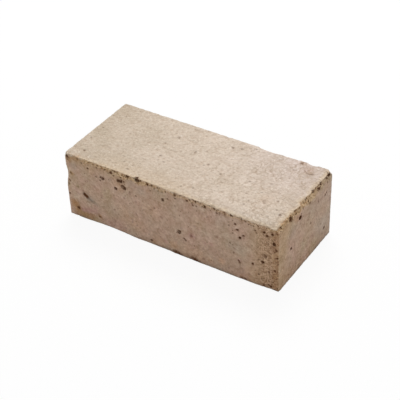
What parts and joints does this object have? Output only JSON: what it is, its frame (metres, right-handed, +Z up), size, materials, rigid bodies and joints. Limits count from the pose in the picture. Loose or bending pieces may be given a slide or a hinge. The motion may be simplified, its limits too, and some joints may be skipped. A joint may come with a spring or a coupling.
{
  "type": "fire brick",
  "caption": "Rectangular solid dense refractory brick with flat beds and worn, partly broken arrises, for lining furnaces, kilns and fireplaces.",
  "frame": {"origin": "centre of the lower bed, on the floor", "axes": "+X along the length to the right end, +Y from the front face to the back face, +Z up"},
  "size_m": [0.23, 0.1, 0.072],
  "materials": {
    "fired_clay": "matt, unglazed, finely granular, with iron spots and pits"
  },
  "bodies": {
    "root": {"brick": "fired_clay"}
  },
  "joints": []
}
